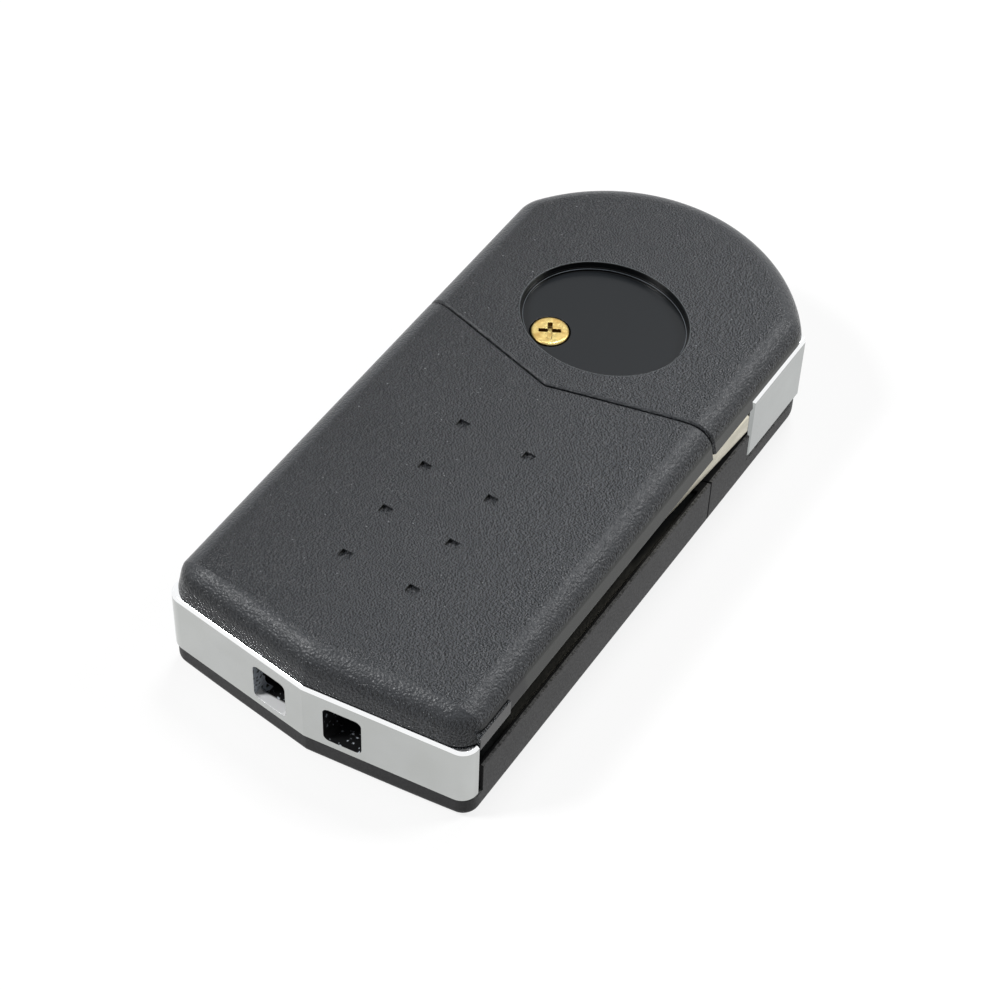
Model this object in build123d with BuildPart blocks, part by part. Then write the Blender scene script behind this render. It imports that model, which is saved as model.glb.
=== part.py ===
from build123d import *
from math import cos, radians, sin, sqrt, tan
import os

# Flip key remote shell, millimetres.
# The rear face is up (+Z). The keyring end points to -Y and the round head to +Y.
# The blade lies in the side slot at +X. The origin is the middle of the footprint.

# Outline of the shell
body_length = 77.7
body_width = 36.0
body_height = 15.2
key_end_depth = 2.1
key_corner_radius = 1.8
cover_corner_radius = 3.2
head_bulge = 2.77
head_corner_radius = 4.5
cap_proud = 0.3

# Levels above the front face
rim_height = 2.8
band_height = 8.2
rail_height = 6.7
slot_height = 4.0
head_edge_rise = 0.25
hub_notch = 0.9
skirt_drop = 0.6
skirt_length = 5.3

# Walls, seams and edges
wall = 1.4
rail_lip = 0.6
floor_thickness = 1.6
roof_thickness = 1.5
seam = 0.1
side_draft = 8.5
rear_edge_radius = 3.2
rear_end_radius = 3.0
rear_inner_slope = 1.1
inner_slope_angle = 45
rear_crown = 0.3
rounding_lead = 0.005
front_flat_width = 16.0
front_crown = 0.25
front_edge_radius = 0.9

# Chevron joint between the remote half and the head
head_length = 34.12
split_angle = 14.84
split_gap = 0.25
split_edge = 0.2

# Shallow square pits on the rear cover
dimple_pitch = 6.97
dimple_rows = 4
dimple_offset = 3.98
dimple_middle_from_split = 19.93
dimple_width = 1.2
dimple_length = 1.0
dimple_depth = 0.4

# Emblem recess
recess_width = 18.64
recess_length = 16.04
recess_from_head_end = 22.31
recess_depth = 0.8
recess_ledge = 0.3
recess_step = 0.3
recess_floor = 1.5

# Head screw and its boss
screw_x = -4.24
screw_from_head_end = 26.45
screw_head_diameter = 4.2
screw_head_height = 1.1
screw_head_proud = 0.2
screw_head_edge = 0.3
screw_diameter = 2.0
screw_length = 8.5
screw_gap = 0.14
screw_cross_width = 0.5
screw_cross_length = 2.4
screw_cross_depth = 0.6
screw_cross_turn = 30
thread_fit = 0.02
boss_diameter = 4.6

# Keyring end cap, its two slots and the passage behind the bridge
cap_return = 1.45
cap_rail_gap = 0.82
cap_edge = 0.3
cap_bay_gap = 0.6
cap_bay_depth = 4.8
slot_width = 4.2
slot_tall = 5.0
slot_bay_wall = 1.35
slot_corner = 0.7
slot_rise = 1.3
bridge_depth = 2.6
passage_depth = 3.8
passage_side = 0.4

# Blade
blade_thickness = 2.7
blade_top_gap = 0.5
blade_width = 8.35
blade_tip_room = 9.69
blade_inset = 0.15
blade_hub_gap = 0.5
blade_taper = 1.2
blade_shoulder_from_hub = 19.9
blade_shoulder = 0.6
blade_tip_cut = 2.4
blade_edge = 0.25
groove_width = 1.4
groove_depth = 0.5
groove_from_spine = 3.4
tang_width = 5.1
tang_length = 6.4
tang_from_flat = 1.0
tang_fit = 0.04
pin_diameter = 1.5
pin_length = 6.0
pin_along_tang = 3.2
pin_bore = 0.7
pin_split = 0.3

# Hub and pivot
pivot_from_side = 9.5
pivot_from_head_end = 15.36
hub_drum_diameter = 16.0
hub_flat_length = 11.6
hub_flat_edge = 0.35
hub_gap = 0.2
hub_clearance = 0.35
hub_bore_diameter = 10.4
hub_well_diameter = 5.9
hub_well_depth = 7.0
journal_diameter = 6.0
journal_length = 1.5
running_fit = 0.06

# Hub collar, release button and spring
collar_length = 3.5
collar_inset = 0.45
release_diameter = 8.0
release_travel = 1.5
release_room = 0.95
release_inset = 0.5
release_flange = 0.9
release_flange_height = 0.6
release_edge = 0.4
spring_diameter = 5.4
spring_wire = 0.6
spring_turns = 4.0
spring_end_gap = 0.05
spigot_height = 1.2
spigot_gap = 0.3

# Remote buttons on the front face
key_count = 3
key_width = 14.0
key_spacing = 2.2
key_corner = 2.2
key_gap = 0.2
key_flange = 0.8
key_flange_height = 0.7
key_travel = 0.6
key_inset = 0.3
key_edge = 0.4
key_from_split = 4.4
key_from_cap = 6.18

# Rubber pad behind the buttons
pad_thickness = 0.8
pad_skirt = 1.0
pad_margin = 0.3
pad_gap = 0.1

# Inner tray
deck_thickness = 1.1
deck_drop = 0.45
bay_rim_from_split = 2.8
slot_wall = 1.2
slot_wall_gap = 0.7
slot_end_gap = 0.8
tray_rim = 1.0
tray_rim_height = 2.4

# Places worked out from the sizes above
half_width = body_width / 2
tip_y = -body_length / 2
head_y = body_length / 2
cover_tip_y = tip_y + cap_proud
key_corner_y = cover_tip_y + key_end_depth
head_radius = half_width + head_bulge
head_centre_y = head_y - head_radius
head_corner_y = head_centre_y + sqrt(head_radius**2 - half_width**2)
split_y = head_y - head_length
split_side_y = split_y + half_width * tan(radians(split_angle))
split_shift = split_gap / 2 / cos(radians(split_angle))
split_wall_shift = split_shift + wall / cos(radians(split_angle))
band_top = rim_height + band_height
slot_top = rail_height + slot_height
head_edge_z = slot_top + head_edge_rise
crown_edge_z = body_height - rear_crown
roof_z = body_height - roof_thickness
recess_y = head_y - recess_from_head_end
recess_ledge_z = body_height - recess_depth
recess_floor_z = recess_ledge_z - recess_step
recess_under_z = recess_floor_z - recess_floor
screw_y = head_y - screw_from_head_end
screw_seat_z = recess_floor_z + screw_head_proud - screw_head_height
cap_back_y = key_corner_y + cap_return
rail_start_y = cap_back_y + cap_rail_gap
cap_bay_y = cap_back_y + cap_bay_depth
cap_z = rim_height + seam
cap_height = band_height - 2 * seam
slot_z = rim_height + slot_rise
pivot_x = half_width - pivot_from_side
pivot_y = head_y - pivot_from_head_end
hub_z = rim_height + hub_gap
bearing_z = band_top + hub_notch
hub_top = bearing_z - hub_gap
hub_face_y = pivot_y - hub_flat_length / 2
hub_reach = sqrt((half_width - pivot_x) ** 2 + (hub_flat_length / 2) ** 2)
blade_z = slot_top - blade_top_gap - blade_thickness
blade_root_y = hub_face_y - blade_hub_gap
blade_tip_y = tip_y + blade_tip_room
blade_length = blade_root_y - blade_tip_y
blade_spine_x = half_width - blade_inset
blade_inner_x = blade_spine_x - blade_width
tang_x = half_width - tang_from_flat - tang_width / 2
pin_y = blade_root_y + pin_along_tang
pin_x = tang_x
slot_inner_x = blade_inner_x - slot_wall_gap
cap_bay_width = 2 * (slot_inner_x - cap_bay_gap)
passage_width = cap_bay_width - 2 * slot_bay_wall
slot_spacing = passage_width - 2 * passage_side - slot_width
deck_z = rail_height - deck_drop - deck_thickness
deck_top = deck_z + deck_thickness
shoulder_y = blade_root_y - blade_shoulder_from_hub
open_blade_x = 2 * pivot_x - blade_spine_x
key_field = split_y - key_from_split - rail_start_y - key_from_cap
key_pitch = key_field / key_count
key_length = key_pitch - key_spacing
key_middle_y = split_y - key_from_split - key_field / 2
key_floor_z = floor_thickness + key_flange_height
pad_z = key_floor_z + key_travel + pad_gap
release_seat_z = collar_inset + collar_length
hub_bore_depth = release_seat_z + release_flange_height + release_travel + release_room - hub_z
spring_z = release_seat_z + release_flange_height
spring_length = hub_z + hub_well_depth - spring_z
spring_pitch = (spring_length - spring_wire - 2 * spring_end_gap) / spring_turns

# How closely a face's direction has to match the chevron's to belong to it
facing = 0.01


def split_mask(shift):
    """Plan of the remote half as far as the chevron, moved back by shift."""
    outer_y = split_y + body_width * tan(radians(split_angle)) - shift
    with BuildSketch() as mask:
        with BuildLine():
            Polyline(
                (-body_width, outer_y),
                (-body_width, tip_y - wall),
                (body_width, tip_y - wall),
                (body_width, outer_y),
                (0, split_y - shift),
                close=True,
            )
        make_face()
    return mask.sketch


with BuildSketch() as shell_outline:
    with BuildLine():
        head_arc = ThreePointArc(
            (half_width, head_corner_y), (0, head_y), (-half_width, head_corner_y)
        )
        Polyline(
            head_arc @ 1,
            (-half_width, key_corner_y),
            (0, cover_tip_y),
            (half_width, key_corner_y),
            head_arc @ 0,
        )
    make_face()

with BuildSketch() as rounded_outline:
    add(shell_outline.sketch)
    fillet(rounded_outline.vertices().group_by(Axis.Y)[1], key_corner_radius)
    fillet(rounded_outline.vertices().group_by(Axis.Y)[-1], head_corner_radius)

# The rounded top of the rear half: drafted sides that run on past the keyring end, the
# round head, a slight crown and one large radius along the sides and round the head.
with BuildPart() as rounded_top:
    with BuildSketch(Plane.XY.offset(slot_top)) as rounded_plan:
        with BuildLine():
            add(head_arc)
            Polyline(
                head_arc @ 1,
                (-half_width, tip_y - body_height),
                (half_width, tip_y - body_height),
                head_arc @ 0,
            )
        make_face()
        fillet(rounded_plan.vertices().group_by(Axis.Y)[-1], head_corner_radius)
        offset(amount=rounding_lead)
    extrude(amount=body_height - slot_top + rear_crown, taper=side_draft)
    with BuildSketch(Plane.XZ):
        with BuildLine():
            crown = ThreePointArc(
                (half_width, crown_edge_z), (0, body_height), (-half_width, crown_edge_z)
            )
            Polyline(
                crown @ 1,
                (-half_width - wall, crown_edge_z),
                (-half_width - wall, slot_top),
                (half_width + wall, slot_top),
                (half_width + wall, crown_edge_z),
                crown @ 0,
            )
        make_face()
    extrude(amount=2 * body_length, both=True, mode=Mode.INTERSECT)
    top_face = rounded_top.faces().sort_by(Axis.Z)[-1]
    fillet(top_face.edges().sort_by(Axis.Y)[1:], rear_edge_radius)

# The rear half as one form: the V-shaped keyring end with its tight radius, cut to the
# rounded top.
with BuildPart() as rear_form:
    with BuildSketch(Plane.XY.offset(slot_top)):
        with BuildLine():
            Polyline(
                (-half_width, head_y + body_height),
                (-half_width, key_corner_y),
                (0, cover_tip_y),
                (half_width, key_corner_y),
                (half_width, head_y + body_height),
                close=True,
            )
        make_face()
    extrude(amount=body_height - slot_top, taper=side_draft)
    corners = rear_form.edges().filter_by(lambda edge: edge.bounding_box().size.Z > rear_crown)
    fillet(corners.sort_by(Axis.Y)[1:3], cover_corner_radius)
    fillet(rear_form.faces().sort_by(Axis.Z)[-1].edges().sort_by(Axis.Y)[:-1], rear_end_radius)
    add(rounded_top.part, mode=Mode.INTERSECT)

# Hollow of the rear half.
with BuildPart() as rear_hollow:
    with BuildSketch(Plane.XY.offset(slot_top)):
        add(shell_outline.sketch)
        offset(amount=-wall)
    extrude(amount=roof_z - rear_inner_slope - slot_top, taper=side_draft)
    with BuildSketch(Plane.XY.offset(roof_z - rear_inner_slope)):
        add(shell_outline.sketch)
        offset(amount=-wall - (roof_z - rear_inner_slope - slot_top) * tan(radians(side_draft)))
    extrude(amount=rear_inner_slope, taper=inner_slope_angle)

# The front half as one form: straight sides and a front face that is flat in the
# middle and falls away to the sides.
with BuildSketch() as front_section:
    with BuildLine():
        right_fall = TangentArc(
            (front_flat_width / 2, 0), (half_width, front_crown), tangent=(1, 0)
        )
        left_fall = TangentArc(
            (-front_flat_width / 2, 0), (-half_width, front_crown), tangent=(-1, 0)
        )
        Line(left_fall @ 0, right_fall @ 0)
        Polyline(right_fall @ 1, (half_width, band_top), (-half_width, band_top), left_fall @ 1)
    make_face()

with BuildPart() as front_form:
    with BuildSketch():
        add(rounded_outline.sketch)
    extrude(amount=head_edge_z - seam)
    with BuildSketch(Plane.XZ):
        add(front_section.sketch)
    extrude(amount=body_length, both=True, mode=Mode.INTERSECT)
    fillet(front_form.edges().group_by(Axis.Z)[0], front_edge_radius)

# Hollow of the front half: the cavity, and the wider step that carries the tray.
with BuildSketch() as front_cavity:
    add(shell_outline.sketch)
    offset(amount=-wall)

with BuildSketch() as deck_step:
    add(shell_outline.sketch)
    offset(amount=-rail_lip)

remote_half = split_mask(split_shift)
remote_inside = split_mask(split_wall_shift)
head_beyond = split_mask(-split_shift)
head_wall_beyond = split_mask(-split_wall_shift)

# Hollows of the two rear covers, each closed by a wall along the chevron. In the head the
# floor of the emblem recess and the boss of the hub's bearing stay standing.
with BuildPart() as remote_rear_hollow:
    add(rear_hollow.part)
    with BuildSketch(Plane.XY.offset(slot_top)):
        add(remote_inside)
    extrude(amount=body_height, mode=Mode.INTERSECT)

with BuildPart() as head_rear_hollow:
    add(rear_hollow.part)
    with BuildSketch(Plane.XY.offset(slot_top)):
        add(head_wall_beyond)
    extrude(amount=body_height, mode=Mode.SUBTRACT)
    with BuildSketch(Plane.XY.offset(recess_under_z)):
        with Locations((0, recess_y)):
            Ellipse(recess_width / 2 + wall, recess_length / 2 + wall)
    extrude(amount=body_height, mode=Mode.SUBTRACT)
    with BuildSketch(Plane.XY.offset(bearing_z)):
        with Locations((pivot_x, pivot_y)):
            Circle(journal_diameter / 2 + wall)
    extrude(amount=body_height, mode=Mode.SUBTRACT)

# Rear cover of the remote half, with its pits, the step over the keyring cap and the
# lower skirt between the cap and the blade slot.
with BuildPart() as rear_cover:
    add(rear_form.part)
    with BuildSketch(Plane.XY.offset(slot_top)):
        add(remote_half)
    extrude(amount=body_height, mode=Mode.INTERSECT)
    seam_faces = rear_cover.faces().filter_by(
        lambda face: abs(abs(face.normal_at().X) - sin(radians(split_angle))) < facing
    )
    chamfer(seam_faces.edges().group_by(Axis.Z)[-1], split_edge)
    add(remote_rear_hollow.part, mode=Mode.SUBTRACT)
    with BuildSketch(Plane.XY.offset(slot_top)):
        with Locations((0, tip_y)):
            Rectangle(body_width, rail_start_y - tip_y, align=(Align.CENTER, Align.MIN))
    extrude(amount=band_top + seam - slot_top, mode=Mode.SUBTRACT)
    with BuildSketch(Plane.XY.offset(slot_top - skirt_drop)):
        with Locations((half_width, cap_back_y + seam)):
            Rectangle(wall, skirt_length, align=(Align.MAX, Align.MIN))
    extrude(amount=skirt_drop + wall)
    with BuildSketch(Plane.XY.offset(body_height)):
        with Locations((0, split_y - dimple_middle_from_split)):
            with GridLocations(2 * dimple_offset, dimple_pitch, 2, dimple_rows):
                Rectangle(dimple_width, dimple_length)
    extrude(amount=-dimple_depth, mode=Mode.SUBTRACT)
rear_cover.part.label = "rear_cover"

# Rear cover of the head, with the emblem recess, the screw hole, the notch over the hub
# and the hub's bearing.
with BuildPart() as head_rear_cover:
    add(rear_form.part)
    with BuildSketch(Plane.XY.offset(slot_top)):
        add(head_beyond)
    extrude(amount=body_height, mode=Mode.SUBTRACT)
    head_seam_faces = head_rear_cover.faces().filter_by(
        lambda face: abs(abs(face.normal_at().X) - sin(radians(split_angle))) < facing
    )
    chamfer(head_seam_faces.edges().group_by(Axis.Z)[-1], split_edge)
    add(head_rear_hollow.part, mode=Mode.SUBTRACT)
    with BuildSketch(Plane.XY.offset(slot_top)):
        Rectangle(body_width, body_length + head_radius)
    extrude(amount=head_edge_rise, mode=Mode.SUBTRACT)
    with BuildSketch(Plane.XY.offset(recess_ledge_z)):
        with Locations((0, recess_y)):
            Ellipse(recess_width / 2, recess_length / 2)
    extrude(amount=body_height, mode=Mode.SUBTRACT)
    with BuildSketch(Plane.XY.offset(recess_floor_z)):
        with Locations((0, recess_y)):
            Ellipse(recess_width / 2 - recess_ledge, recess_length / 2 - recess_ledge)
    extrude(amount=recess_step, mode=Mode.SUBTRACT)
    with BuildSketch(Plane.XY.offset(screw_seat_z)):
        with Locations((screw_x, screw_y)):
            Circle(screw_head_diameter / 2 + screw_gap)
    extrude(amount=recess_depth + screw_head_height, mode=Mode.SUBTRACT)
    with BuildSketch(Plane.XY.offset(slot_top)):
        with Locations((screw_x, screw_y)):
            Circle(screw_diameter / 2 + screw_gap)
    extrude(amount=body_height, mode=Mode.SUBTRACT)
    with BuildSketch(Plane.XY.offset(slot_top)):
        with Locations((pivot_x, hub_face_y - seam)):
            Rectangle(body_width, body_length, align=(Align.MIN, Align.MIN))
        with Locations((pivot_x, pivot_y)):
            Circle(hub_reach + hub_clearance / 2, mode=Mode.INTERSECT)
    extrude(amount=bearing_z - slot_top, mode=Mode.SUBTRACT)
    with BuildSketch(Plane.XY.offset(bearing_z)):
        with Locations((pivot_x, pivot_y)):
            Circle(journal_diameter / 2 + running_fit)
    extrude(amount=journal_length - hub_gap + seam, mode=Mode.SUBTRACT)
head_rear_cover.part.label = "head_rear_cover"

# Brass screw from the recess into the boss of the head front cover.
with BuildPart() as head_screw:
    with Locations((screw_x, screw_y, screw_seat_z)):
        Cylinder(
            screw_head_diameter / 2,
            screw_head_height,
            align=(Align.CENTER, Align.CENTER, Align.MIN),
        )
    fillet(head_screw.edges().group_by(Axis.Z)[-1], screw_head_edge)
    with Locations((screw_x, screw_y, screw_seat_z)):
        Cylinder(
            screw_diameter / 2, screw_length, align=(Align.CENTER, Align.CENTER, Align.MAX)
        )
    with BuildSketch(Plane.XY.offset(screw_seat_z + screw_head_height)):
        with Locations((screw_x, screw_y)):
            with PolarLocations(0, 4, start_angle=screw_cross_turn):
                Rectangle(screw_cross_length, screw_cross_width)
    extrude(amount=-screw_cross_depth, mode=Mode.SUBTRACT)
head_screw.part.label = "head_screw"

# Front housing of the remote half: floor with the button windows, the shelf under the
# keyring cap, a full wall on the left and the low rail beside the blade slot.
with BuildPart() as front_housing:
    add(front_form.part)
    with BuildSketch():
        add(remote_half)
    extrude(amount=band_top, mode=Mode.INTERSECT)
    with BuildSketch(Plane.XY.offset(slot_top - seam)):
        Rectangle(body_width, body_length + head_radius)
    extrude(amount=body_height, mode=Mode.SUBTRACT)
    with BuildSketch(Plane.XY.offset(rim_height)):
        with Locations((0, tip_y)):
            Rectangle(body_width, rail_start_y - tip_y, align=(Align.CENTER, Align.MIN))
    extrude(amount=body_height, mode=Mode.SUBTRACT)
    with BuildSketch(Plane.XY.offset(rail_height)):
        with Locations((slot_inner_x, 0)):
            Rectangle(body_width, 2 * body_length, align=(Align.MIN, Align.CENTER))
    extrude(amount=body_height, mode=Mode.SUBTRACT)
    with BuildSketch(Plane.XY.offset(floor_thickness)):
        add(front_cavity.sketch)
        add(remote_inside, mode=Mode.INTERSECT)
        with Locations((0, rail_start_y)):
            Rectangle(
                2 * body_width, body_length, align=(Align.CENTER, Align.MAX), mode=Mode.SUBTRACT
            )
    extrude(amount=body_height, mode=Mode.SUBTRACT)
    with BuildSketch(Plane.XY.offset(deck_z)):
        add(deck_step.sketch)
        add(remote_inside, mode=Mode.INTERSECT)
    extrude(amount=body_height, mode=Mode.SUBTRACT)
    with BuildSketch():
        with Locations((0, key_middle_y)):
            with GridLocations(0, key_pitch, 1, key_count):
                RectangleRounded(
                    key_width + 2 * key_gap, key_length + 2 * key_gap, key_corner + key_gap
                )
    extrude(amount=floor_thickness, mode=Mode.SUBTRACT)
front_housing.part.label = "front_housing"

# Plated keyring cap: V-shaped face, flat back, and a bay whose two slots meet behind
# the bridge.
with BuildPart() as keyring_end_cap:
    with BuildSketch(Plane.XY.offset(cap_z)):
        with Locations((0, -cap_proud)):
            add(rounded_outline.sketch)
        with Locations((0, cap_back_y)):
            Rectangle(
                body_width, body_length, align=(Align.CENTER, Align.MIN), mode=Mode.SUBTRACT
            )
    extrude(amount=cap_height)
    chamfer(keyring_end_cap.edges().group_by(Axis.Z)[-1].sort_by(Axis.Y)[:-1], cap_edge)
    chamfer(keyring_end_cap.edges().group_by(Axis.Z)[0].sort_by(Axis.Y)[:-1], cap_edge)
    with BuildSketch(Plane.XY.offset(cap_z)):
        with Locations((0, cap_back_y)):
            Rectangle(cap_bay_width, cap_bay_depth, align=(Align.CENTER, Align.MIN))
    extrude(amount=cap_height)
    with BuildSketch(Plane.XZ.offset(-tip_y)):
        with Locations((0, slot_z + slot_tall / 2)):
            with GridLocations(slot_spacing, 0, 2, 1):
                RectangleRounded(slot_width, slot_tall, slot_corner)
    extrude(amount=-(bridge_depth + passage_depth), mode=Mode.SUBTRACT)
    with BuildSketch(Plane.XY.offset(slot_z)):
        with Locations((0, tip_y + bridge_depth)):
            Rectangle(passage_width, passage_depth, align=(Align.CENTER, Align.MIN))
    extrude(amount=slot_tall, mode=Mode.SUBTRACT)
keyring_end_cap.part.label = "keyring_end_cap"

# Tray: a deck on the step of the housing, the inner wall and end wall of the blade slot,
# and the rim of the electronics bay.
with BuildPart() as inner_tray:
    with BuildSketch(Plane.XY.offset(deck_z)):
        add(deck_step.sketch)
        offset(amount=-seam)
        add(split_mask(split_wall_shift + seam), mode=Mode.INTERSECT)
        with Locations((0, cap_back_y + seam)):
            Rectangle(
                2 * body_width, body_length, align=(Align.CENTER, Align.MAX), mode=Mode.SUBTRACT
            )
        with Locations((0, cap_bay_y + seam)):
            Rectangle(
                cap_bay_width + 2 * seam,
                body_length,
                align=(Align.CENTER, Align.MAX),
                mode=Mode.SUBTRACT,
            )
    extrude(amount=deck_thickness)
    with BuildSketch(Plane.XY.offset(deck_top)):
        with Locations((slot_inner_x, cap_bay_y + seam)):
            Rectangle(slot_wall, body_length, align=(Align.MAX, Align.MIN))
        with Locations((slot_inner_x, blade_tip_y - slot_end_gap)):
            Rectangle(
                half_width - wall - rail_lip - slot_inner_x, slot_wall, align=(Align.MIN, Align.MAX)
            )
        add(split_mask(split_wall_shift + seam), mode=Mode.INTERSECT)
    extrude(amount=slot_top - seam - deck_top)
    with BuildSketch(Plane.XY.offset(deck_top)):
        with BuildLine():
            Polyline(
                (slot_inner_x - slot_wall, cap_bay_y + seam),
                (wall + rail_lip - half_width, cap_bay_y + seam),
                (wall + rail_lip - half_width, split_side_y - bay_rim_from_split - split_wall_shift),
                (0, split_y - bay_rim_from_split - split_wall_shift),
                (slot_inner_x - slot_wall, split_y - bay_rim_from_split - split_wall_shift),
                close=True,
            )
        make_face()
        offset(amount=-tray_rim, mode=Mode.SUBTRACT)
    extrude(amount=tray_rim_height)
inner_tray.part.label = "inner_tray"

# Head front cover: floor with the hub's bearing, the screw boss, the outer wall that is
# cut away where the hub and the blade swing, and a shelf under the blade.
with BuildPart() as head_front_cover:
    add(front_form.part)
    with BuildSketch():
        add(head_beyond)
    extrude(amount=band_top, mode=Mode.SUBTRACT)
    with BuildSketch(Plane.XY.offset(floor_thickness)):
        add(front_cavity.sketch)
        add(head_wall_beyond, mode=Mode.SUBTRACT)
    extrude(amount=body_height, mode=Mode.SUBTRACT)
    with BuildSketch(Plane.XY.offset(rail_height)):
        with Locations((slot_inner_x, tip_y)):
            Rectangle(body_width, pivot_y - tip_y, align=(Align.MIN, Align.MIN))
        with Locations((open_blade_x - hub_clearance, pivot_y)):
            Rectangle(body_width, body_length, align=(Align.MIN, Align.MIN))
    extrude(amount=body_height, mode=Mode.SUBTRACT)
    with BuildSketch(Plane.XY.offset(floor_thickness)):
        with Locations((pivot_x, pivot_y)):
            Circle(hub_drum_diameter / 2)
    extrude(amount=rim_height - floor_thickness)
    with BuildSketch(Plane.XY.offset(floor_thickness)):
        with Locations((screw_x, screw_y)):
            Circle(boss_diameter / 2)
    extrude(amount=recess_under_z - seam - floor_thickness)
    with BuildSketch(Plane.XY.offset(floor_thickness)):
        add(front_cavity.sketch)
        add(split_mask(-split_shift), mode=Mode.SUBTRACT)
        with Locations((slot_inner_x, hub_face_y - seam)):
            Rectangle(body_width, body_length, align=(Align.MIN, Align.MAX), mode=Mode.INTERSECT)
    extrude(amount=deck_top - floor_thickness)
    with BuildSketch(Plane.XY.offset(floor_thickness)):
        add(front_cavity.sketch)
        add(head_wall_beyond, mode=Mode.SUBTRACT)
        with Locations((slot_inner_x + wall, hub_face_y - seam)):
            Rectangle(body_width, body_length, align=(Align.MIN, Align.MAX), mode=Mode.INTERSECT)
    extrude(amount=deck_z - floor_thickness, mode=Mode.SUBTRACT)
    with BuildSketch(Plane.XY.offset(rim_height)):
        with Locations((pivot_x, pivot_y)):
            Circle(hub_drum_diameter / 2 + hub_clearance)
    extrude(amount=body_height, mode=Mode.SUBTRACT)
    with BuildSketch(Plane.XY.offset(rim_height)):
        with Locations((pivot_x, hub_face_y - seam)):
            Rectangle(body_width, body_length, align=(Align.MIN, Align.MIN))
        with Locations((pivot_x, pivot_y)):
            Circle(hub_reach + hub_clearance / 2, mode=Mode.INTERSECT)
    extrude(amount=body_height, mode=Mode.SUBTRACT)
    with BuildSketch():
        with Locations((pivot_x, pivot_y)):
            Circle(hub_bore_diameter / 2 + running_fit)
    extrude(amount=rim_height, mode=Mode.SUBTRACT)
    with BuildSketch(Plane.XY.offset(floor_thickness)):
        with Locations((screw_x, screw_y)):
            Circle(screw_diameter / 2 + thread_fit)
    extrude(amount=body_height, mode=Mode.SUBTRACT)
head_front_cover.part.label = "head_front_cover"

# Plated hub: a drum on the pivot with a block out to the flat, the blade's socket, the
# bore for the collar and the button, the well for the spring and the rear journal.
with BuildPart() as blade_hub:
    with BuildSketch(Plane.XY.offset(hub_z)):
        with Locations((pivot_x, pivot_y)):
            Circle(hub_drum_diameter / 2)
            Rectangle(half_width - pivot_x, hub_flat_length, align=(Align.MIN, Align.CENTER))
        with Locations((blade_inner_x - blade_hub_gap, hub_face_y)):
            Rectangle(
                body_width, hub_drum_diameter, align=(Align.MIN, Align.MAX), mode=Mode.SUBTRACT
            )
    extrude(amount=hub_top - hub_z)
    chamfer(blade_hub.faces().sort_by(Axis.X)[-1].edges(), hub_flat_edge)
    with Locations((pivot_x, pivot_y, hub_top)):
        Cylinder(
            journal_diameter / 2, journal_length, align=(Align.CENTER, Align.CENTER, Align.MIN)
        )
    with BuildSketch(Plane.XY.offset(hub_z)):
        with Locations((pivot_x, pivot_y)):
            Circle(hub_bore_diameter / 2)
    extrude(amount=hub_bore_depth, mode=Mode.SUBTRACT)
    with BuildSketch(Plane.XY.offset(hub_z)):
        with Locations((pivot_x, pivot_y)):
            Circle(hub_well_diameter / 2)
    extrude(amount=hub_well_depth, mode=Mode.SUBTRACT)
    with BuildSketch(Plane.XY.offset(blade_z - tang_fit)):
        with Locations((tang_x, hub_face_y)):
            Rectangle(
                tang_width + 2 * tang_fit,
                tang_length - blade_hub_gap + tang_fit,
                align=(Align.CENTER, Align.MIN),
            )
    extrude(amount=blade_thickness + 2 * tang_fit, mode=Mode.SUBTRACT)
    with BuildSketch(Plane.XY.offset(hub_top)):
        with Locations((pin_x, pin_y)):
            Circle(pin_diameter / 2 + thread_fit)
    extrude(amount=-pin_length, mode=Mode.SUBTRACT)
blade_hub.part.label = "blade_hub"

# Uncut key blade: tapered spine with a shoulder, a milled groove on both faces, and the
# tang in the hub.
with BuildPart() as key_blade:
    with BuildSketch(Plane.XY.offset(blade_z)):
        with BuildLine():
            Polyline(
                (blade_inner_x, blade_root_y),
                (blade_inner_x, blade_tip_y + blade_tip_cut / 2),
                (blade_inner_x + blade_tip_cut / 2, blade_tip_y),
                (blade_spine_x - blade_taper - blade_shoulder - blade_tip_cut, blade_tip_y),
                (blade_spine_x - blade_taper - blade_shoulder, blade_tip_y + blade_tip_cut),
                (blade_spine_x - blade_taper - blade_shoulder, shoulder_y - blade_shoulder),
                (blade_spine_x - blade_taper, shoulder_y),
                (blade_spine_x, blade_root_y),
                close=True,
            )
        make_face()
    extrude(amount=blade_thickness)
    long_edges = key_blade.edges().filter_by(Plane.XY).filter_by(
        lambda edge: edge.length > blade_shoulder_from_hub / 2
    )
    chamfer(long_edges, blade_edge)
    for face_z, inward in ((blade_z, 1), (blade_z + blade_thickness, -1)):
        with BuildSketch(Plane.XY.offset(face_z)):
            with Locations((blade_spine_x - groove_from_spine, blade_root_y)):
                Rectangle(groove_width, blade_length, align=(Align.CENTER, Align.MAX))
        extrude(amount=inward * groove_depth, mode=Mode.SUBTRACT)
    with BuildSketch(Plane.XY.offset(blade_z)):
        with Locations((tang_x, blade_root_y)):
            Rectangle(tang_width, tang_length, align=(Align.CENTER, Align.MIN))
    extrude(amount=blade_thickness)
    with BuildSketch(Plane.XY.offset(blade_z)):
        with Locations((pin_x, pin_y)):
            Circle(pin_diameter / 2 + thread_fit)
    extrude(amount=blade_thickness, mode=Mode.SUBTRACT)
key_blade.part.label = "key_blade"

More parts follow.
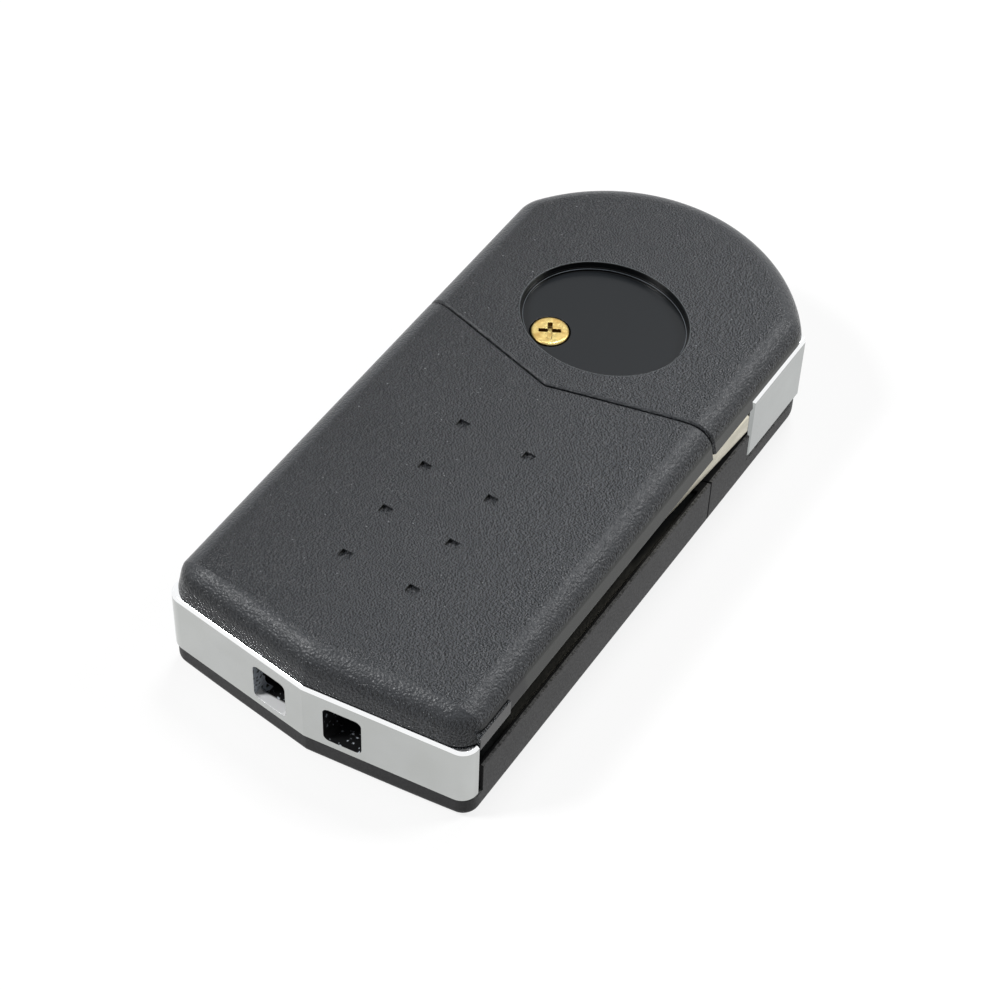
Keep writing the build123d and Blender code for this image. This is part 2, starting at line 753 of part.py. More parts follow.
# Roll pin through the hub and the tang.
with BuildPart() as blade_roll_pin:
    with BuildSketch(Plane.XY.offset(hub_top - pin_length)):
        with Locations((pin_x, pin_y)):
            Circle(pin_diameter / 2)
            Circle(pin_bore / 2, mode=Mode.SUBTRACT)
            Rectangle(pin_diameter, pin_split, align=(Align.MIN, Align.CENTER), mode=Mode.SUBTRACT)
    extrude(amount=pin_length)
blade_roll_pin.part.label = "blade_roll_pin"

# Collar pressed into the hub's bore: it runs in the head front cover and keeps the
# release button in.
with BuildPart() as hub_collar:
    with BuildSketch(Plane.XY.offset(collar_inset)):
        with Locations((pivot_x, pivot_y)):
            Circle(hub_bore_diameter / 2)
            Circle(release_diameter / 2 + running_fit, mode=Mode.SUBTRACT)
    extrude(amount=collar_length)
hub_collar.part.label = "hub_collar"

# Release button: a plated cap with a flange behind the collar and a spigot in the spring.
with BuildPart() as release_button:
    with BuildSketch(Plane.XY.offset(release_inset)):
        with Locations((pivot_x, pivot_y)):
            Circle(release_diameter / 2)
    extrude(amount=release_seat_z - release_inset)
    chamfer(release_button.edges().group_by(Axis.Z)[0], release_edge)
    with BuildSketch(Plane.XY.offset(release_seat_z)):
        with Locations((pivot_x, pivot_y)):
            Circle(release_diameter / 2 + release_flange)
    extrude(amount=release_flange_height)
    with BuildSketch(Plane.XY.offset(release_seat_z + release_flange_height)):
        with Locations((pivot_x, pivot_y)):
            Circle(spring_diameter / 2 - spring_wire - spigot_gap)
    extrude(amount=spigot_height)
release_button.part.label = "release_button"

# Coil spring between the button's flange and the end of the well.
with BuildPart() as flip_spring:
    with BuildLine() as coil:
        Helix(
            pitch=spring_pitch,
            height=spring_pitch * spring_turns,
            radius=(spring_diameter - spring_wire) / 2,
            center=(pivot_x, pivot_y, spring_z + spring_wire / 2 + spring_end_gap),
        )
    with BuildSketch(Plane(origin=coil.line @ 0, z_dir=coil.line % 0)):
        Circle(spring_wire / 2)
    sweep(path=coil.line, is_frenet=True)
flip_spring.part.label = "flip_spring"

# The three remote buttons, each a cap with a flange behind the housing's floor.
key_names = ("lock_button", "unlock_button", "boot_button")
remote_buttons = []
for name, place in zip(key_names, GridLocations(0, key_pitch, 1, key_count)):
    key_y = key_middle_y - place.position.Y
    with BuildPart() as remote_button:
        with BuildSketch(Plane.XY.offset(key_inset)):
            with Locations((0, key_y)):
                RectangleRounded(key_width, key_length, key_corner)
        extrude(amount=floor_thickness - key_inset)
        chamfer(remote_button.edges().group_by(Axis.Z)[0], key_edge)
        with BuildSketch(Plane.XY.offset(floor_thickness)):
            with Locations((0, key_y)):
                RectangleRounded(
                    key_width + 2 * key_flange, key_length + 2 * key_flange, key_corner + key_flange
                )
        extrude(amount=key_flange_height)
    remote_button.part.label = name
    remote_buttons.append(remote_button.part)

# Rubber pad: a sheet over the three buttons with a skirt down to the floor.
pad_inner_width = key_width + 2 * (key_flange + pad_margin)
pad_inner_length = (key_count - 1) * key_pitch + key_length + 2 * (key_flange + pad_margin)
with BuildPart() as button_pad:
    with BuildSketch(Plane.XY.offset(floor_thickness)):
        with Locations((0, key_middle_y)):
            RectangleRounded(
                pad_inner_width + 2 * pad_skirt, pad_inner_length + 2 * pad_skirt, key_corner
            )
    extrude(amount=pad_z + pad_thickness - floor_thickness)
    with BuildSketch(Plane.XY.offset(floor_thickness)):
        with Locations((0, key_middle_y)):
            Rectangle(pad_inner_width, pad_inner_length)
    extrude(amount=pad_z - floor_thickness, mode=Mode.SUBTRACT)
button_pad.part.label = "button_pad"

os.makedirs("parts", exist_ok=True)
pieces = [
    rear_cover.part,
    head_rear_cover.part,
    head_screw.part,
    front_housing.part,
    keyring_end_cap.part,
    inner_tray.part,
    head_front_cover.part,
    blade_hub.part,
    key_blade.part,
    blade_roll_pin.part,
    hub_collar.part,
    release_button.part,
    flip_spring.part,
    button_pad.part,
] + remote_buttons
for piece in pieces:
    export_step(piece, f"parts/{piece.label}.step")
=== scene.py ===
import math

import bpy
from mathutils import Matrix, Vector

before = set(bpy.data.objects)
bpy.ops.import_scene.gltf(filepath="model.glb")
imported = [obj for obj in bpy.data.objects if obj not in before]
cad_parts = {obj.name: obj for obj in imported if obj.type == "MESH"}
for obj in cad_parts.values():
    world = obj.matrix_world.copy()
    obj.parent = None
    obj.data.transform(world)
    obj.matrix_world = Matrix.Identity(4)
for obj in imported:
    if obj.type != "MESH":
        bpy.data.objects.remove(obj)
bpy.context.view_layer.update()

# The photographer's camera: a long lens to the right of the key's keyring end and high
# above it, with the photograph's slight tilt. Lengths are in metres.
eye = Vector((0.0968, -0.16285, 0.21976))
camera_azimuth = math.radians(31.432)
camera_elevation = math.radians(48.972)
camera_roll = math.radians(2.103)
lens_millimetres = 98.56
sensor_millimetres = 36.0
nearest_seen = 0.01

back = Vector((
    math.sin(camera_azimuth) * math.cos(camera_elevation),
    -math.cos(camera_azimuth) * math.cos(camera_elevation),
    math.sin(camera_elevation),
))
level_right = Vector((math.cos(camera_azimuth), math.sin(camera_azimuth), 0.0))
level_up = back.cross(level_right)
right = math.cos(camera_roll) * level_right + math.sin(camera_roll) * level_up
up = math.cos(camera_roll) * level_up - math.sin(camera_roll) * level_right
camera_data = bpy.data.cameras.new("camera")
camera_data.lens = lens_millimetres
camera_data.sensor_width = sensor_millimetres
camera_data.clip_start = nearest_seen
camera = bpy.data.objects.new("camera", camera_data)
bpy.context.scene.collection.objects.link(camera)
camera.matrix_world = Matrix((
    (right.x, up.x, back.x, eye.x),
    (right.y, up.y, back.y, eye.y),
    (right.z, up.z, back.z, eye.z),
    (0.0, 0.0, 0.0, 1.0),
))
bpy.context.scene.camera = camera
bpy.context.scene.view_settings.view_transform = "Standard"

# Studio light: a white tent all round and three soft boxes. One high on the left draws the
# rounding of the keyring end, one behind shines on the grain, one on the right draws the
# long right edge. Each box has its place, width, length and watts.
tent_light = 0.05
soft_boxes = {
    "soft_box_left": ((-0.510, -0.440, 0.740), 0.22, 0.22, 7.6),
    "soft_box_back": ((-0.080, 0.440, 0.895), 0.24, 0.24, 3.9),
    "soft_box_right": ((0.520, 0.570, 0.640), 0.30, 0.30, 5.0),
}


class Wiring:
    """The nodes of a world or a material, with short calls for what is worked out in them."""

    def __init__(self, owner):
        owner.use_nodes = True
        self.nodes = owner.node_tree.nodes
        self.links = owner.node_tree.links

    def add(self, kind):
        """A new shader node."""
        return self.nodes.new("ShaderNode" + kind)

    def feed(self, socket, value):
        """Gives a socket what another socket says, or a value of its own."""
        if isinstance(value, bpy.types.NodeSocket):
            self.links.new(value, socket)
        else:
            socket.default_value = value

    def worked(self, operation, first, second=0.0):
        """The result of one sum."""
        step = self.add("Math")
        step.operation = operation
        self.feed(step.inputs[0], first)
        self.feed(step.inputs[1], second)
        return step.outputs[0]

    def glow(self, kind, strength):
        """White light of that strength."""
        source = self.add(kind)
        source.inputs["Color"].default_value = (1.0, 1.0, 1.0, 1.0)
        source.inputs["Strength"].default_value = strength
        return source.outputs[0]

    def paper(self, brightness):
        """A matt white or grey sheet."""
        sheet = self.add("BsdfDiffuse")
        sheet.inputs["Color"].default_value = (brightness, brightness, brightness, 1.0)
        return sheet.outputs[0]

    def blended(self, share, first, second):
        """The second light or surface by its share over the first."""
        mix = self.add("MixShader")
        self.links.new(share, mix.inputs["Fac"])
        self.links.new(first, mix.inputs[1])
        self.links.new(second, mix.inputs[2])
        return mix.outputs[0]

    def seen(self, path):
        """1 for the rays of the camera and for those that metal and glass send out."""
        mirrored = self.worked("MAXIMUM", path["Is Camera Ray"], path["Is Glossy Ray"])
        return self.worked("MAXIMUM", mirrored, path["Is Transmission Ray"])


tent = bpy.data.worlds.new("tent")
bpy.context.scene.world = tent
cloth = Wiring(tent)
cloth.nodes.clear()
cloth_shown = cloth.blended(
    cloth.seen(cloth.add("LightPath").outputs),
    cloth.glow("Background", tent_light),
    cloth.glow("Background", 1.0),
)
cloth.links.new(cloth_shown, cloth.add("OutputWorld").inputs["Surface"])

for box_name, (box_place, box_width, box_length, box_watts) in soft_boxes.items():
    box_data = bpy.data.lights.new(box_name, "AREA")
    box_data.shape = "RECTANGLE"
    box_data.size = box_width
    box_data.size_y = box_length
    box_data.energy = box_watts
    soft_box = bpy.data.objects.new(box_name, box_data)
    bpy.context.scene.collection.objects.link(soft_box)
    soft_box.location = box_place
    soft_box.rotation_mode = "QUATERNION"
    soft_box.rotation_quaternion = (-Vector(box_place)).to_track_quat("-Z", "Y")

# The floor: a white sheet under the key that keeps its soft shadow. Close under the key
# and from below it lets the tent's light through, so that the front face can be seen.
floor_half = 1.5
floor_drop = 0.00002
floor_white = 0.55
floor_lift = 0.82
under_key = 0.004

floor_mesh = bpy.data.meshes.new("floor")
floor_corners = [(-floor_half, -floor_half, 0), (floor_half, -floor_half, 0)]
floor_corners += [(floor_half, floor_half, 0), (-floor_half, floor_half, 0)]
floor_mesh.from_pydata(floor_corners, [], [(0, 1, 2, 3)])
floor = bpy.data.objects.new("floor", floor_mesh)
floor.location.z = -floor_drop
bpy.context.scene.collection.objects.link(floor)

white_sheet = bpy.data.materials.new("white_sheet")
sheet = Wiring(white_sheet)
sheet.nodes.clear()
sheet_path = sheet.add("LightPath").outputs
sheet_lit = sheet.add("AddShader")
sheet.links.new(sheet.paper(1 - floor_lift), sheet_lit.inputs[0])
sheet.links.new(sheet.glow("Emission", floor_lift), sheet_lit.inputs[1])
sheet_shown = sheet.blended(sheet.seen(sheet_path), sheet.paper(floor_white), sheet_lit.outputs[0])
sheet_near = sheet.worked("LESS_THAN", sheet_path["Ray Length"], under_key)
sheet_open = sheet.worked("MAXIMUM", sheet.add("NewGeometry").outputs["Backfacing"], sheet_near)
sheet_end = sheet.blended(sheet_open, sheet_shown, sheet.add("BsdfTransparent").outputs[0])
sheet.links.new(sheet_end, sheet.add("OutputMaterial").inputs["Surface"])
floor_mesh.materials.append(white_sheet)

# Rear cover of the remote half and rear cover of the head: two charcoal ABS mouldings with
# a fine pebble grain. Painted light makes them lighter towards the right side and on their
# rounded edges, and paints shading and glints on the grain. The grain stops at the smooth
# floor and wall of the emblem recess and at the smooth skirts of the long sides.
cover_charcoal = (25, 27, 30)
cover_lit_and_pale = (42, 44, 48)
cover_gloss = 0.23
cover_roughness = 0.23
cover_patch = 0.012
cover_side = (-0.016, 0.014)
side_share = 0.75

grain_pitch = 0.00020
pebble_pitch = 1.3 * grain_pitch
grain_depth = 0.00012
grain_shift = (0.00006, 0.00004, 0.0)
grain_slope = (-0.10, 0.10)
grain_painted_shade = (8, 10, 12)
grain_painted_light = (72, 75, 79)
grain_shading_faint = 0.25
grain_shading_strong = 0.9

painted_glint_light = (104, 106, 109)
glint_pitch = 0.00012
glint_share = 0.0008

edge_from_top = (0.985, 0.93)
edge_to_side = (0.50, 0.70)
edge_grain = 0.6
edge_roughness = 0.30
edge_painted_highlight = (62, 64, 67)
highlight_patch = (0.35, 0.65)
highlight_least = 0.55

recess_middle = (0.0, 0.01654)
recess_half = (0.00936, 0.00806)
recess_brink = (1.0, 1.02)
recess_charcoal = (25, 28, 31)
painted_shade_black = (6, 8, 10)
recess_upright = (0.1, 0.9)
rim_band = (1.022, 1.032)
rim_painted_highlight = (74, 79, 82)
ledge_band = (0.935, 0.945)
ledge_painted_highlight = (92, 98, 104)
ledge_level = (0.01425, 0.01430)

skirt_turn = (0.90, 0.97)
skirt_olive = (44, 46, 43)
skirt_start = (-0.0270, -0.0264)
share_span = (0.0, 1.0)
soft_span = (0.3, 0.7)
edge_samples = 6


def tone(colour):
    """A screen colour from 0 to 255 as Blender's linear one."""
    screen = [part / 255 for part in colour]
    linear = [part / 12.92 if part <= 0.04045 else ((part + 0.055) / 1.055) ** 2.4 for part in screen]
    return (*linear, 1.0)


class Finish(Wiring):
    """A material that is worked out from the place on its piece."""

    def __init__(self, name, colour, roughness, metallic=0.0, gloss=0.5):
        self.made = bpy.data.materials.new(name)
        super().__init__(self.made)
        self.surface = self.nodes["Principled BSDF"].inputs
        self.surface["Base Color"].default_value = tone(colour)
        self.surface["Roughness"].default_value = roughness
        self.surface["Metallic"].default_value = metallic
        self.surface["Specular IOR Level"].default_value = gloss
        self.place = self.add("TexCoord").outputs["Object"]

    def parts(self, value):
        """The three parts of a place or a direction."""
        split = self.add("SeparateXYZ")
        self.links.new(value, split.inputs[0])
        return split.outputs

    def facing(self, normal="True Normal"):
        """The three parts of the way that the surface faces."""
        return self.parts(self.add("NewGeometry").outputs[normal])

    def moved(self, setting, amounts):
        """The place on the piece, shifted by its Location or stretched by its Scale."""
        mapping = self.add("Mapping")
        mapping.inputs[setting].default_value = amounts
        self.links.new(self.place, mapping.inputs["Vector"])
        return mapping.outputs["Vector"]

    def noise(self, size, detail=2.0, place=None):
        """Soft noise whose features are about size across, in metres."""
        texture = self.add("TexNoise")
        texture.inputs["Scale"].default_value = 1 / size
        texture.inputs["Detail"].default_value = detail
        self.links.new(self.place if place is None else place, texture.inputs["Vector"])
        return texture.outputs["Fac"]

    def cells(self, size, feature):
        """Cells about size across, in metres."""
        texture = self.add("TexVoronoi")
        texture.feature = feature
        texture.inputs["Scale"].default_value = 1 / size
        self.links.new(self.place, texture.inputs["Vector"])
        return texture.outputs

    def spread(self, value, span, start=0.0, end=1.0):
        """The value over its span, spread from start to end."""
        ramp = self.add("MapRange")
        ramp.inputs["From Min"].default_value = span[0]
        ramp.inputs["From Max"].default_value = span[1]
        ramp.inputs["To Min"].default_value = start
        ramp.inputs["To Max"].default_value = end
        self.links.new(value, ramp.inputs["Value"])
        return ramp.outputs["Result"]

    def both(self, first, second):
        """1 only where both shares are 1."""
        return self.worked("MULTIPLY", first, second)

    def mixed(self, share, first, second):
        """The second colour by its share over the first."""
        mix = self.add("Mix")
        mix.data_type = "RGBA"
        self.links.new(share, mix.inputs[0])
        for colour, socket in ((first, mix.inputs[6]), (second, mix.inputs[7])):
            self.feed(socket, tone(colour) if isinstance(colour, tuple) else colour)
        return mix.outputs[2]

    def relief(self, height, depth, edge=0.00010):
        """Bumps of that depth over edges rounded to that radius."""
        rounded = self.add("Bevel")
        rounded.samples = edge_samples
        rounded.inputs["Radius"].default_value = edge
        bump = self.add("Bump")
        bump.inputs["Strength"].default_value = 1.0
        bump.inputs["Distance"].default_value = depth
        self.links.new(height, bump.inputs["Height"])
        self.links.new(rounded.outputs[0], bump.inputs["Normal"])
        self.links.new(bump.outputs[0], self.surface["Normal"])


def wear(name, finish):
    """Gives a CAD piece its finish."""
    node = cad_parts[name]
    node.data.materials.clear()
    node.data.materials.append(finish.made)


grained = Finish("charcoal_pebble_grain", cover_charcoal, cover_roughness, gloss=cover_gloss)
cover_at = grained.parts(grained.place)
cover_facing = grained.facing()
cover_turn = grained.facing("Normal")["Z"]
squares = []
for axis, middle, half in zip("XY", recess_middle, recess_half):
    off_middle = grained.worked("DIVIDE", grained.worked("SUBTRACT", cover_at[axis], middle), half)
    squares.append(grained.worked("POWER", off_middle, 2.0))
from_recess = grained.worked("ADD", *squares)
outside_recess = grained.spread(from_recess, recess_brink)
off_skirt = grained.spread(grained.worked("ABSOLUTE", cover_facing["X"]), skirt_turn, 1.0, 0.0)
on_edge = grained.both(grained.spread(cover_turn, edge_from_top), grained.spread(cover_turn, edge_to_side))

fine_grain = grained.noise(grain_pitch, 1.0)
pebbles = grained.cells(pebble_pitch, "SMOOTH_F1")["Distance"]
grain_height = grained.worked("SUBTRACT", fine_grain, pebbles)
for grain_share in (outside_recess, off_skirt, grained.spread(on_edge, share_span, 1.0, edge_grain)):
    grain_height = grained.both(grain_height, grain_share)
grained.relief(grain_height, grain_depth)

# Painted light: the covers are painted lighter towards their right side, mixed with soft random patches of
# a paler tone.
cover_cloud = grained.noise(cover_patch, 3.0)
painted_side_light_and_patches = grained.worked(
    "ADD",
    grained.spread(cover_at["X"], cover_side, 0.0, side_share),
    grained.spread(cover_cloud, soft_span, 0.0, 1 - side_share),
)
cover_tone = grained.mixed(painted_side_light_and_patches, cover_charcoal, cover_lit_and_pale)
# Painted light and shade on the grain: each pebble is painted light on one flank and dark on the other,
# more strongly towards the right side.
grain_beside = grained.noise(grain_pitch, 1.0, grained.moved("Location", grain_shift))
painted_grain_shading = grained.spread(grained.worked("SUBTRACT", fine_grain, grain_beside), grain_slope)
cover_tone = grained.mixed(
    grained.spread(cover_at["X"], cover_side, grain_shading_faint, grain_shading_strong),
    cover_tone,
    grained.mixed(painted_grain_shading, grain_painted_shade, grain_painted_light),
)
# Painted glints: sparse tiny cells painted light.
glint_cell_colour = grained.add("SeparateColor")
grained.links.new(grained.cells(glint_pitch, "F1")["Color"], glint_cell_colour.inputs[0])
painted_glint = grained.worked("LESS_THAN", glint_cell_colour.outputs[0], glint_share)
cover_tone = grained.mixed(painted_glint, cover_tone, painted_glint_light)
# Painted highlight: the rounded edges are painted lighter in patches that follow the grain.
painted_edge_highlight = grained.both(on_edge, grained.spread(fine_grain, highlight_patch, highlight_least, 1.0))
cover_tone = grained.mixed(painted_edge_highlight, cover_tone, edge_painted_highlight)
# Painted highlight: a thin light line round the outer rim of the emblem recess.
cover_tone = grained.mixed(grained.spread(from_recess, rim_band), rim_painted_highlight, cover_tone)

# Painted highlight: a thin light line along the edge of the recess's ledge.
ledge_tone = grained.mixed(grained.spread(from_recess, ledge_band), ledge_painted_highlight, painted_shade_black)
recess_tone = grained.mixed(grained.spread(cover_at["Z"], ledge_level), recess_charcoal, ledge_tone)
# Painted shade: the recess's upright walls are painted near black, and so is the ledge outside its light
# line.
recess_tone = grained.mixed(grained.spread(cover_facing["Z"], recess_upright), painted_shade_black, recess_tone)
cover_tone = grained.mixed(outside_recess, recess_tone, cover_tone)
# Painted shade: the skirts are painted near black near the keyring end; elsewhere they keep their olive
# tone.
skirt_tone = grained.mixed(grained.spread(cover_at["Y"], skirt_start), painted_shade_black, skirt_olive)
grained.feed(grained.surface["Base Color"], grained.mixed(off_skirt, skirt_tone, cover_tone))
cover_polish = grained.spread(on_edge, share_span, cover_roughness, edge_roughness)
grained.feed(grained.surface["Roughness"], cover_polish)
wear("rear_cover", grained)
wear("head_rear_cover", grained)

# Head screw: a small brass screw with a pan head and a cross recess, turned and plain,
# which holds the head rear cover down on its boss.
brass_yellow = (202, 182, 120)
brass_brown = (158, 130, 76)
cross_painted_shade = (84, 60, 26)
brass_patch = 0.0009
brass_span = (0.35, 0.7)
brass_shine = (0.22, 0.4)
brass_pitch = 0.0004
brass_depth = 0.00003
brass_edge = 0.00012
cross_turn = (0.4, 0.5)

brass = Finish("plain_brass", brass_yellow, brass_shine[0], 1.0)
brass_cloud = brass.noise(brass_patch, 3.0)
brass_tone = brass.mixed(brass.spread(brass_cloud, brass_span), brass_yellow, brass_brown)
# Painted shade: walls that face sideways, in the cross recess and round the head, are painted dark brown.
brass_tone = brass.mixed(brass.spread(brass.facing()["Z"], cross_turn), cross_painted_shade, brass_tone)
brass.feed(brass.surface["Base Color"], brass_tone)
brass.feed(brass.surface["Roughness"], brass.spread(brass_cloud, soft_span, *brass_shine))
brass.relief(brass.noise(brass_pitch), brass_depth, brass_edge)
wear("head_screw", brass)

# Front housing of the remote half and head front cover: satin charcoal mouldings with a
# much shallower spark texture than the rear covers. Their walls that face left are painted
# black as shade, and so is the top of the rail beside the blade's slot, up to a thin rough
# outer land painted light grey as a highlight.
housing_charcoal = (44, 44, 45)
housing_pale = (52, 52, 53)
housing_gloss = 0.15
housing_shine = (0.42, 0.58)
housing_patch = 0.01
housing_edge = 0.00014
spark_pitch = 0.00022
spark_depth = 0.000012
land_painted_grey = (70, 70, 70)
land_painted_pale = (112, 112, 112)
land_span = (0.4, 0.6)
land_start = (0.01765, 0.01769)
rail_start = (0.0160, 0.0161)
level_turn = (0.5, 0.6)
left_turn = (-0.5, -0.6)
housing_painted_shade = (10, 11, 12)

satin = Finish("charcoal_satin", housing_charcoal, housing_shine[0], gloss=housing_gloss)
spark = satin.noise(spark_pitch)
housing_at = satin.parts(satin.place)
housing_facing = satin.facing()
housing_tone = satin.mixed(
    satin.spread(satin.noise(housing_patch, 3.0), soft_span), housing_charcoal, housing_pale
)
# Painted highlight: the rail's thin outer land is painted light grey, speckled; inward of it the rail top
# is painted near black as shade.
painted_land_light = satin.mixed(satin.spread(spark, land_span), land_painted_grey, land_painted_pale)
rail_tone = satin.mixed(satin.spread(housing_at["X"], land_start), housing_painted_shade, painted_land_light)
rail_top = satin.both(
    satin.spread(housing_facing["Z"], level_turn), satin.spread(housing_at["X"], rail_start)
)
housing_tone = satin.mixed(rail_top, housing_tone, rail_tone)
# Painted shade: walls that face left are painted near black.
housing_tone = satin.mixed(satin.spread(housing_facing["X"], left_turn), housing_tone, housing_painted_shade)
satin.feed(satin.surface["Base Color"], housing_tone)
satin.feed(satin.surface["Roughness"], satin.spread(spark, soft_span, *housing_shine))
satin.relief(spark, spark_depth, housing_edge)
wear("front_housing", satin)
wear("head_front_cover", satin)

# Inner tray: a smooth black ABS moulding with a cold cast, which holds the circuit and
# walls the blade's slot. Only its walls show through the slot.
tray_black = (8, 10, 11)
tray_pale = (12, 14, 15)
tray_roughness = 0.35
tray_gloss = 0.4
tray_patch = 0.006
tray_pitch = 0.0005
tray_depth = 0.00001

smooth_black = Finish("black_tray", tray_black, tray_roughness, gloss=tray_gloss)
tray_cloud = smooth_black.noise(tray_patch, 3.0)
tray_tone = smooth_black.mixed(smooth_black.spread(tray_cloud, soft_span), tray_black, tray_pale)
smooth_black.feed(smooth_black.surface["Base Color"], tray_tone)
smooth_black.relief(smooth_black.noise(tray_pitch), tray_depth)
wear("inner_tray", smooth_black)

# Blade hub with its collar and release button: zinc die castings, polished and plated,
# with the faint ripple of a casting under the plating.
hub_grey = (168, 171, 170)
hub_shade = (163, 166, 165)
plating_painted_highlight = (246, 247, 248)
plating_shine = (0.11, 0.16)
plating_upper = (0.3, 0.5)
haze_size = 0.005
haze_depth = 0.000012
haze_edge = 0.00006


def new_plating(name, grey, shade):
    """Satin plating and its colour, with a painted highlight on faces that look upwards."""
    plating = Finish(name, grey, plating_shine[0], 1.0)
    haze = plating.noise(haze_size)
    plating.feed(plating.surface["Roughness"], plating.spread(haze, soft_span, *plating_shine))
    plating.relief(haze, haze_depth, haze_edge)
    faces = plating.mixed(plating.spread(haze, soft_span), grey, shade)
    # Painted highlight: faces that look upwards are painted near white.
    upper = plating.spread(plating.facing()["Z"], plating_upper)
    return plating, plating.mixed(upper, faces, plating_painted_highlight)


hub_plating, hub_tone = new_plating("hub_plating", hub_grey, hub_shade)
hub_plating.feed(hub_plating.surface["Base Color"], hub_tone)
for hub_piece in ("blade_hub", "hub_collar", "release_button"):
    wear(hub_piece, hub_plating)

# Keyring end cap: a zinc die casting, polished and plated outside. Its two keyring slots
# are left as cast and rough inside, painted near black as shade with a few light specks,
# painted light at the far left and painted shade deeper in. A painted highlight runs along
# the lip under the left slot.
plating_grey = (185, 187, 186)
plating_shade = (180, 182, 180)
slot_painted_light = (208, 215, 224)
slot_painted_shade = (7, 8, 10)
cast_shine = (0.14, 0.45)
cast_metal = (1.0, 0.2)
cast_pitch = 0.0005
cast_span = (0.50, 0.60)
fleck_span = (0.60, 0.66)
cast_reach = (0.0088, 0.0089)
cast_top = (0.0095, 0.0096)
cast_depth = (-0.0362, -0.0361)
cast_left = (-0.0056, -0.0055)
lip_right = (-0.0005, 0.0)
lip_end = (-0.0373, -0.0371)

cap_plating, cap_tone = new_plating("cap_plating", plating_grey, plating_shade)
cap_at = cap_plating.parts(cap_plating.place)
cap_facing = cap_plating.facing()
within_reach = cap_plating.spread(cap_plating.worked("ABSOLUTE", cap_at["X"]), cast_reach, 1.0, 0.0)
within_slots = cap_plating.both(within_reach, cap_plating.spread(cap_at["Z"], cast_top, 1.0, 0.0))
deep_in = cap_plating.spread(cap_at["Y"], cast_depth)
slot_walls = cap_plating.spread(cap_plating.worked("ABSOLUTE", cap_facing["Y"]), level_turn, 1.0, 0.0)
in_slot = cap_plating.both(within_slots, cap_plating.worked("MAXIMUM", deep_in, slot_walls))
on_lip = cap_plating.both(
    cap_plating.spread(cap_facing["Z"], level_turn),
    cap_plating.both(
        cap_plating.spread(cap_at["X"], lip_right, 1.0, 0.0),
        cap_plating.spread(cap_at["Y"], lip_end, 1.0, 0.0),
    ),
)
cast_rough = cap_plating.noise(cast_pitch, 3.0)
# Painted light and shade in the keyring slots: light at the far left, near black elsewhere with a few
# light flecks, and near black deeper in.
slot_painted_tone = cap_plating.mixed(
    cap_plating.spread(cap_at["X"], cast_left, 1.0, 0.0),
    cap_plating.mixed(cap_plating.spread(cast_rough, fleck_span), slot_painted_shade, slot_painted_light),
    cap_plating.mixed(cap_plating.spread(cast_rough, cast_span), slot_painted_light, slot_painted_shade),
)
slot_painted_tone = cap_plating.mixed(deep_in, slot_painted_tone, slot_painted_shade)
# Painted highlight: the level lip under the left slot is painted near white.
slot_painted_tone = cap_plating.mixed(on_lip, slot_painted_tone, plating_painted_highlight)
cap_plating.feed(cap_plating.surface["Base Color"], cap_plating.mixed(in_slot, cap_tone, slot_painted_tone))
cap_plating.feed(cap_plating.surface["Roughness"], cap_plating.spread(in_slot, share_span, *cast_shine))
cap_plating.feed(cap_plating.surface["Metallic"], cap_plating.spread(in_slot, share_span, *cast_metal))
wear("keyring_end_cap", cap_plating)

# Key blade: an uncut nickel-plated blade blank with fine lines from grinding along it. The
# roll pin holds it in the hub.
blade_nickel = (206, 201, 184)
blade_shade = (186, 181, 164)
blade_shine = (0.24, 0.4)
blade_edge = 0.00012
line_pitch = 0.0002
line_stretch = (1.0, 0.03, 1.0)
line_depth = 0.000006

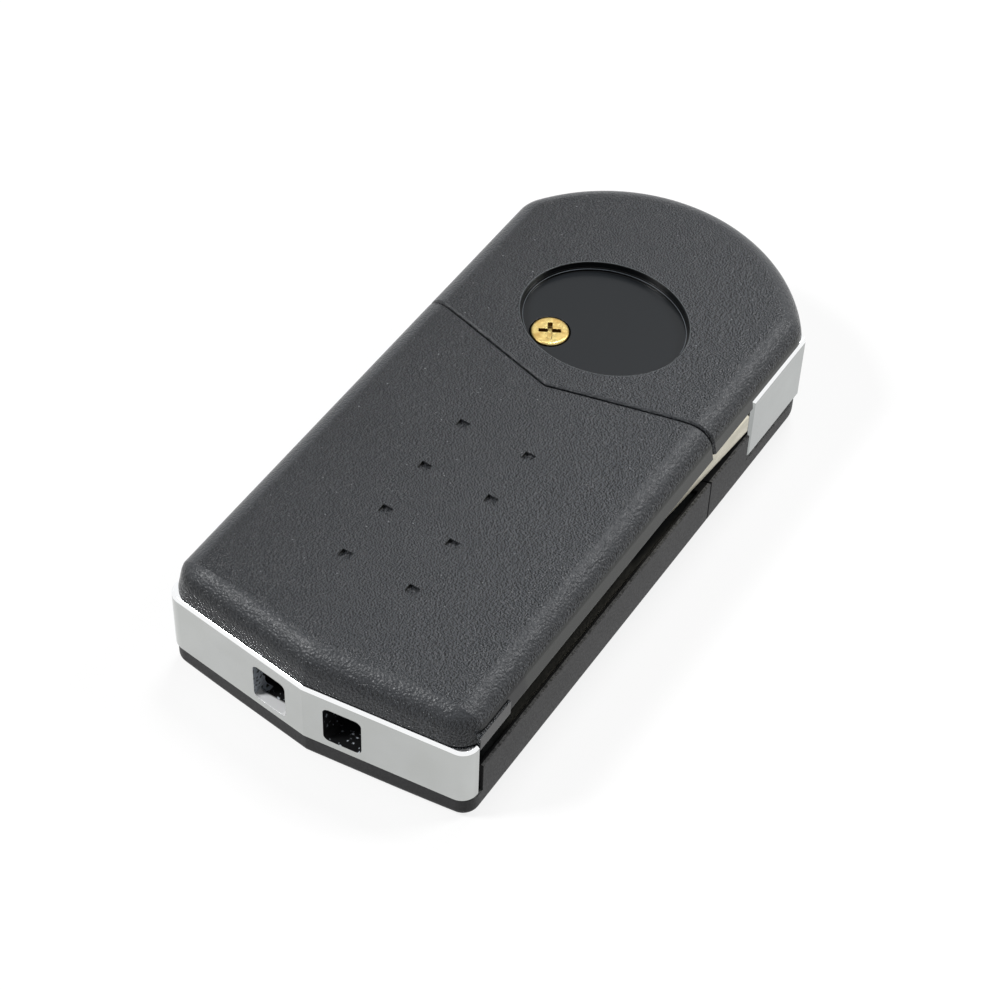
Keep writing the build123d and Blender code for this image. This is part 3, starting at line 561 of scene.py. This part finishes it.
nickel = Finish("ground_nickel", blade_nickel, blade_shine[0], 1.0)
blade_lines = nickel.noise(line_pitch, 2.0, nickel.moved("Scale", line_stretch))
blade_tone = nickel.mixed(nickel.spread(blade_lines, soft_span), blade_nickel, blade_shade)
nickel.feed(nickel.surface["Base Color"], blade_tone)
nickel.feed(nickel.surface["Roughness"], nickel.spread(blade_lines, soft_span, *blade_shine))
nickel.relief(blade_lines, line_depth, blade_edge)
wear("key_blade", nickel)

# Flip spring and roll pin: spring steel, the one coiled from drawn wire and the other
# rolled from strip, both with small marks from that.
spring_grey = (158, 158, 160)
spring_shade = (120, 120, 124)
spring_roughness = 0.32
wire_pitch = 0.0003
wire_depth = 0.000006
wire_edge = 0.00006

drawn = Finish("drawn_wire", spring_grey, spring_roughness, 1.0)
wire_marks = drawn.noise(wire_pitch, 3.0)
wire_tone = drawn.mixed(drawn.spread(wire_marks, soft_span), spring_grey, spring_shade)
drawn.feed(drawn.surface["Base Color"], wire_tone)
drawn.relief(wire_marks, wire_depth, wire_edge)
wear("flip_spring", drawn)
wear("blade_roll_pin", drawn)

# Lock, unlock and boot buttons: three moulded caps of satin black ABS in the windows of
# the front housing.
button_black = (34, 34, 36)
button_pale = (44, 44, 46)
button_roughness = 0.5
button_gloss = 0.4
button_pitch = 0.0002
button_depth = 0.000012
button_edge = 0.00014

capped = Finish("button_satin", button_black, button_roughness, gloss=button_gloss)
button_spark = capped.noise(button_pitch)
button_tone = capped.mixed(capped.spread(button_spark, soft_span), button_black, button_pale)
capped.feed(capped.surface["Base Color"], button_tone)
capped.relief(button_spark, button_depth, button_edge)
for button_name in ("lock_button", "unlock_button", "boot_button"):
    wear(button_name, capped)

# Button pad: a moulded black rubber sheet with a pale bloom, laid behind the three
# buttons inside the front housing.
rubber_black = (30, 30, 30)
rubber_bloom = (44, 44, 43)
rubber_roughness = 0.8
rubber_gloss = 0.3
bloom_size = 0.002
bloom_depth = 0.00001

rubber = Finish("pad_rubber", rubber_black, rubber_roughness, gloss=rubber_gloss)
bloom = rubber.noise(bloom_size, 4.0)
rubber_tone = rubber.mixed(rubber.spread(bloom, soft_span), rubber_black, rubber_bloom)
rubber.feed(rubber.surface["Base Color"], rubber_tone)
rubber.relief(bloom, bloom_depth)
wear("button_pad", rubber)
